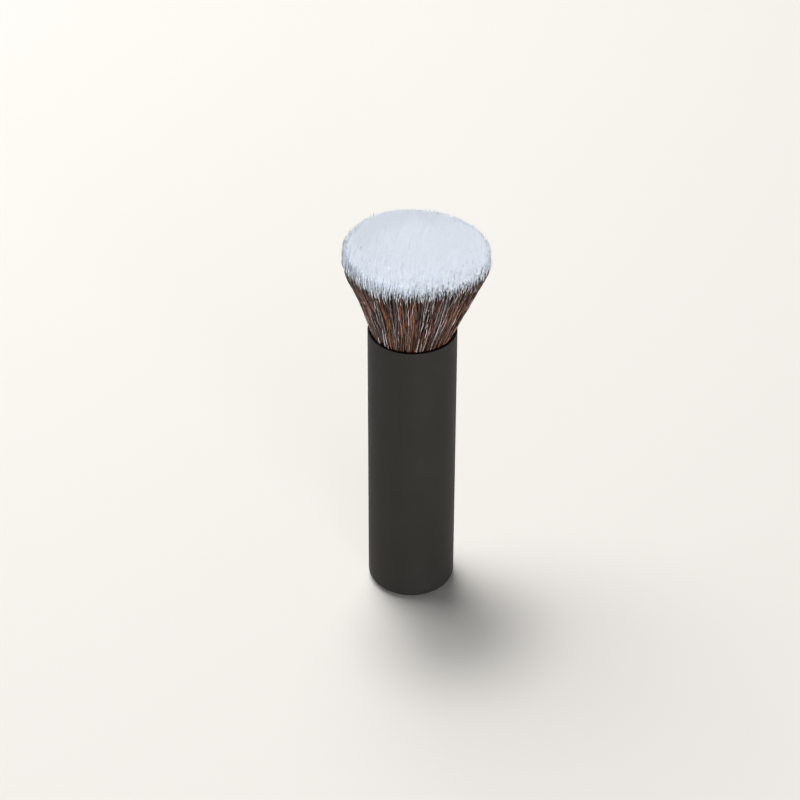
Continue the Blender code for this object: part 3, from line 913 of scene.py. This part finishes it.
def fibreTubes(size, own, t, x, y, z):
    # Round each level of a path but the last stand three points, a third of a turn apart and one fibre radius
    # away. The radius thins towards the tip, where one point closes the tube. A triangle closes the foot.
    count, levels = len(x), x.shape[1] - 1
    thin = 1 - size["tipThin"] * np.clip((t - size["tipFrom"]) / size["tipSpan"], 0, 1) ** 1.5
    radius = (size["fibreRadius"] * own["thick"][:, None] * thin)[:, :-1, None]
    corner = np.arange(3)
    side = own["turn"][:, None, None] + corner * 2 * np.pi / 3
    ringX = x[:, :-1, None] + radius * np.cos(side)
    ringY = y[:, :-1, None] + radius * np.sin(side)
    ringZ = np.broadcast_to(z[:, :-1, None] + rimHeight, ringX.shape)
    rings = np.stack([ringX, ringY, ringZ], -1).reshape(count, levels * 3, 3)
    tips = np.stack([x[:, -1:], y[:, -1:], z[:, -1:] + rimHeight], -1)
    points = np.concatenate([rings, tips], 1).reshape(-1, 3)
    first = (np.arange(count) * (levels * 3 + 1))[:, None, None]
    after = (corner + 1) % 3
    last = (levels - 1) * 3
    tube = first + ringFaces(levels, 3)
    cone = first + np.stack([last + corner, last + after, np.full(3, levels * 3)], -1)
    foot = first + np.array([[2, 1, 0]])
    faces = tube.reshape(-1, 4).tolist() + cone.reshape(-1, 3).tolist() + foot.reshape(-1, 3).tolist()
    return points, faces


def fibreCorners(size, own, z):
    # (u, v) of every corner, in the order of the faces: sides, tips and feet. u is the fibre's column of dye,
    # and each side takes a third of it. v is the height above where the dip ends on the fibre. Above the dip
    # it is stretched on a short tip, so that this gets fully white too.
    levels = z.shape[1] - 1
    tip = z[:, -1]
    dip = np.minimum(own["dip"], tip - size["leastWhite"])
    stretch = np.maximum(1, size["fullWhite"] / (tip - dip))[:, None]
    over = z - dip[:, None]
    over *= np.where(over > 0, stretch, 1)
    height = (over + size["mapDip"]) / size["mapSpan"]
    columns = size["columns"]
    column = (np.floor(own["dye"] * columns) / columns)[:, None, None]
    third = 1 / columns / 3
    sides = np.arange(3)[:, None] * third
    tubeU = column + (np.tile(sides, (levels - 1, 1)) + np.array([0, third, third, 0]))
    below = np.repeat(height[:, : levels - 1], 3, axis=1)
    above = np.repeat(height[:, 1:levels], 3, axis=1)
    tubeV = np.stack([below, below, above, above], -1)
    coneU = column + sides + np.array([0, third, third / 2])
    coneLow = np.repeat(height[:, levels - 1 : levels], 3, axis=1)
    coneHigh = np.repeat(height[:, levels:], 3, axis=1)
    coneV = np.stack([coneLow, coneLow, coneHigh], -1)
    footU = column + np.array([0, third, 2 * third])
    footV = height[:, :1, None] + np.array([0, size["footSliver"], 0])
    u = np.concatenate([tubeU.ravel(), coneU.ravel(), footU.ravel()])
    v = np.concatenate([tubeV.ravel(), coneV.ravel(), footV.ravel()])
    return np.clip(np.stack([u, v], -1), 0, 1)


def fibrePiece(name, size, fibres, chosen, shares, material):
    # The chosen fibres, each a three-sided tube along its path, with levels at these shares of its height
    own = {key: value[chosen] for key, value in fibres.items()}
    t = np.array(shares)[None, :]
    x, y, z = fibrePaths(size, own, t)
    points, faces = fibreTubes(size, own, t, x, y, z)
    corners = fibreCorners(size, own, z)
    return makePiece(name, points, faces, material, {"fibreMap": corners, "OFBake": corners})


# Heart of the tuft, where the fibres are too close for the eye to tell apart

heart = {
    "inside": 0.95,  # share of the flare's radius
    "low": 17.0,
    "under": 2.3,  # mm under the crown
    "shoulder": 1.8,
    "shoulderArc": (12, 78),  # degrees
    "shoulderSteps": 5,
    "sideRings": 9,
    "topRings": 8,
    "shadeRing": 0.2,
    "around": 120,
    "leanShare": 0.9,  # shares of the tuft's lean and hollow that move it to +X
    "hollowShare": 0.4,
    "dipBlend": (-2.5, 1.5),  # mm from the dip's height inside over which it turns from dark to white
    "colour": "DDE6F2",
}


def shadedPackedFibre(name, size, hair):
    # The same dyed and dipped polyester fibre, packed tight, in painted shade: finely streaked, a greyer
    # bluish white in the dip than the loose fibres, and nearly black below, where no light reaches. The ramp
    # takes the mean of the height and the streaks.
    material, tree, shader = newMaterial(name, size["colour"], roughness=0.7)
    place = addNode(tree, "TexCoord", {}, {}).outputs["Object"]
    upright = addNode(tree, "VectorMath", {"operation": "MULTIPLY"}, {0: place, 1: (1.0, 1.0, 0.05)})
    streaks = addNode(tree, "TexNoise", {}, {"Vector": upright.outputs["Vector"], "Scale": 1 / (0.3 * mm)})
    split = addNode(tree, "SeparateXYZ", {}, {"Vector": place})
    dark, pale = (rimHeight + hair["dipInside"] + above for above in size["dipBlend"])
    height = addNode(
        tree, "MapRange", {}, {"Value": split.outputs["Z"], "From Min": dark * mm, "From Max": pale * mm}
    )
    both = addNode(
        tree, "Math", {"operation": "ADD"}, {0: height.outputs["Result"], 1: streaks.outputs["Fac"]}
    )
    mean = addNode(tree, "Math", {"operation": "MULTIPLY"}, {0: both.outputs[0], 1: 0.5})
    tint = addNode(
        tree,
        "ValToRGB",
        {"stops": [(0.0, "120D0B"), (0.45, "1A1412"), (0.6, "B4BCCB"), (0.8, "E3EAF4")]},
        {"Fac": mean.outputs[0]},
    )
    linkLooks(tree, shader, tint)
    return material


def heartProfile(size, hair):
    # Up from a flat underside along a share of the flare's radius, round the shoulder by most of a quarter
    # circle, and to the axis along the crown's own curve: crown minus drop times the fourth power of the
    # distance
    high = hair["crown"] - hair["crownDrop"] - size["under"] - size["shoulder"]
    side = np.linspace(size["low"], high, size["sideRings"])
    wall = size["inside"] * headRadius(hair, side)
    radius = wall[-1] - size["shoulder"]
    share = np.linspace(1, 0, size["topRings"])
    top = hair["crown"] - size["under"] - hair["crownDrop"] * share**4
    return joinProfile(
        [
            [[0, size["low"]], [wall[0] - size["shadeRing"], size["low"]]],
            np.stack([wall, side], -1),
            arcPoints(radius, high, size["shoulder"], *size["shoulderArc"], size["shoulderSteps"]),
            np.stack([share * radius, top], -1),
        ]
    )


def leanedHeart(size, hair):
    # Moved to +X with the tuft, and sheared so that its top falls towards +X as the crown does
    slope = hair["crownTilt"] / hair["headRadius"]
    shift = (size["leanShare"] * hair["lean"] + size["hollowShare"] * hair["hollow"]) * mm
    return Matrix(((1, 0, 0, shift), (0, 1, 0, 0), (-slope, 0, 1, 0), (0, 0, 0, 1)))


# Floor and light

floor = {
    "half": 1500.0,  # mm, wide enough that its edge shows in no view from above
    "colour": "E7E4DE",
    "roughness": 0.9,
}

# A large lamp behind on the left gives the long soft shadow, and a smaller and steeper one the short dark one
# by the base. Two low lamps, in front and on the left, reach the brush but hardly the floor. Each lamp has a
# name, a place in metres, a width, a height, a power and a colour.
lights = {
    "skyColour": "FBFCFF",
    "skyStrength": 0.08,
    "lamps": [
        ("keyLamp", (-0.59, 0.81, 1.73), 1.8, 1.8, 34.6, "FFFFFF"),
        ("coreLamp", (-0.19, 0.48, 1.93), 0.5, 0.5, 12.6, "FFFFFF"),
        ("fillLamp", (0.34, -1.08, 0.08), 0.6, 0.16, 13.3, "FAFCFF"),
        ("sideLamp", (-1.12, 0.12, 0.1), 0.5, 0.16, 4.5, "FAFCFF"),
    ],
}


def floorPlane(size):
    # A flat square round the origin
    half = size["half"]
    points = np.array([[-half, -half, 0], [half, -half, 0], [half, half, 0], [-half, half, 0]])
    mesh = bpy.data.meshes.new("floor")
    mesh.from_pydata(points * mm, [], [(0, 1, 2, 3)])
    mesh.materials.append(newMaterial("paleFloor", size["colour"], size["roughness"])[0])
    plane = bpy.data.objects.new("floor", mesh)
    bpy.context.scene.collection.objects.link(plane)


def addLamp(name, place, width, height, power, colour):
    # A soft lamp that faces the origin: round where its width and height are the same, otherwise oblong
    lamp = bpy.data.lights.new(name, "AREA")
    lamp.shape = "DISK" if width == height else "RECTANGLE"
    lamp.size = width
    lamp.size_y = height
    lamp.energy = power
    lamp.color = linear(colour)[:3]
    holder = bpy.data.objects.new(name, lamp)
    holder.visible_camera = False
    move = Matrix.Translation(place)
    holder.matrix_world = move @ (-move.translation).to_track_quat("-Z", "Y").to_matrix().to_4x4()
    bpy.context.scene.collection.objects.link(holder)


def setLights(size):
    world = bpy.data.worlds.new("studio")
    bpy.context.scene.world = world
    world.use_nodes = True
    tree = world.node_tree
    tree.nodes["Background"].inputs["Color"].default_value = linear(size["skyColour"])
    # The eye, gloss and glass meet a white backdrop, and everything else the soft sky
    ray = addNode(tree, "LightPath", {}, {}).outputs
    either = addNode(
        tree, "Math", {"operation": "MAXIMUM"}, {0: ray["Is Camera Ray"], 1: ray["Is Glossy Ray"]}
    )
    seen = addNode(
        tree, "Math", {"operation": "MAXIMUM"}, {0: either.outputs[0], 1: ray["Is Transmission Ray"]}
    )
    strength = addNode(tree, "MapRange", {}, {"Value": seen.outputs[0], "To Min": size["skyStrength"]})
    tree.links.new(strength.outputs["Result"], tree.nodes["Background"].inputs["Strength"])
    for lamp in size["lamps"]:
        addLamp(*lamp)


setCamera(cameraShot)
floorPlane(floor)
setLights(lights)
print("camera, floor and lights set")

coat = softTouchCoat("softTouchCoat", handle["coatColour"], handle["coatRoughness"])
tube = turnedPiece("handleTube", handleProfile(handle), handle["around"], coat)
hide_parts("handle_tube")
print("handle tube made")

foam = foamSheet("foamSheet", pad["colour"])
padDisc = turnedPiece("weightPad", discProfile(pad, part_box("weight_pad")[0].z / mm), pad["around"], foam)
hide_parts("weight_pad")

threadCoat = waxedThread("waxedThread", thread["colour"])
winding = threadPiece("rootThread", thread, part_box("root_binding"), threadCoat)
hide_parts("root_binding")

resin = soakedRoot("soakedRoot", boundRoot["colour"])
rootProfile = discProfile(boundRoot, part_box("tuft_centre")[0].z / mm)
rootDisc = turnedPiece("boundRoot", rootProfile, boundRoot["around"], resin)
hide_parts("tuft_centre", "tuft_inner", "tuft_middle", "tuft_outer")

stayMaterials = {
    "base_weight": turnedSteel("turnedSteel", "8A8E92"),
    "inner_core": mouldedPlastic("mouldedPlastic", "2B2C2E"),
    "ferrule_cup": drawnAluminium("drawnAluminium", "BDBEC0"),
    "glue_bed": setEpoxy("setEpoxy", "C8A666"),
}
for node, material in stayMaterials.items():
    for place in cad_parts[node].material_slots:
        place.material = material
print("inner pieces made")

# Pieces of the tuft by coat and by place on the radius, with the shares of the height where their fibres have
# levels. The further out, the more of a fibre shows and the more levels it gets.
innerShares = [0, 0.6, 0.9, 1]
outerShares = [0, 0.35, 0.65, 0.88, 1]
shellShares = [0, 0.21, 0.36, 0.5, 0.62, 0.73, 0.83, 0.92, 1]
surfaceShares = [0, 0.16] + [round(0.2 + 0.05 * step, 2) for step in range(16)] + [0.985, 1]
tuftPieces = [
    ("hairCentre", 0, 0.0, 0.336, innerShares, "tuft_centre"),
    ("hairInner", 0, 0.336, 0.624, innerShares, "tuft_inner"),
    ("hairMiddle", 0, 0.624, 0.816, innerShares, "tuft_middle"),
    ("hairOuter", 0, 0.816, 0.92, outerShares, "tuft_outer"),
    ("hairShell", 0, 0.92, 2.0, shellShares, "tuft_outer"),
    ("hairSurface", 1, 0.0, 2.0, surfaceShares, "tuft_outer"),
    ("hairFace", 2, 0.0, 2.0, surfaceShares, "tuft_outer"),
]
fibre = dippedFibre("dippedFibre", tuft)
fibres = growFibres(tuft)
rho = np.linalg.norm(fibres["centre"], axis=1)
for name, coatNumber, low, high, shares, node in tuftPieces:
    chosen = (fibres["coat"] == coatNumber) & (rho >= low) & (rho < high)
    piece = fibrePiece(name, tuft, fibres, chosen, shares, fibre)
    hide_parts(node)
    print(name, "fibres", int(chosen.sum()), "faces", len(piece.data.polygons))

packed = shadedPackedFibre("shadedPackedFibre", heart, tuft)
profile = heartProfile(heart, tuft) + np.array([0, rimHeight])
core = turnedPiece("hairHeart", profile, heart["around"], packed)
core.data.transform(leanedHeart(heart, tuft))
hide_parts("tuft_centre", "tuft_inner", "tuft_middle", "tuft_outer")
print("heart of the tuft made")
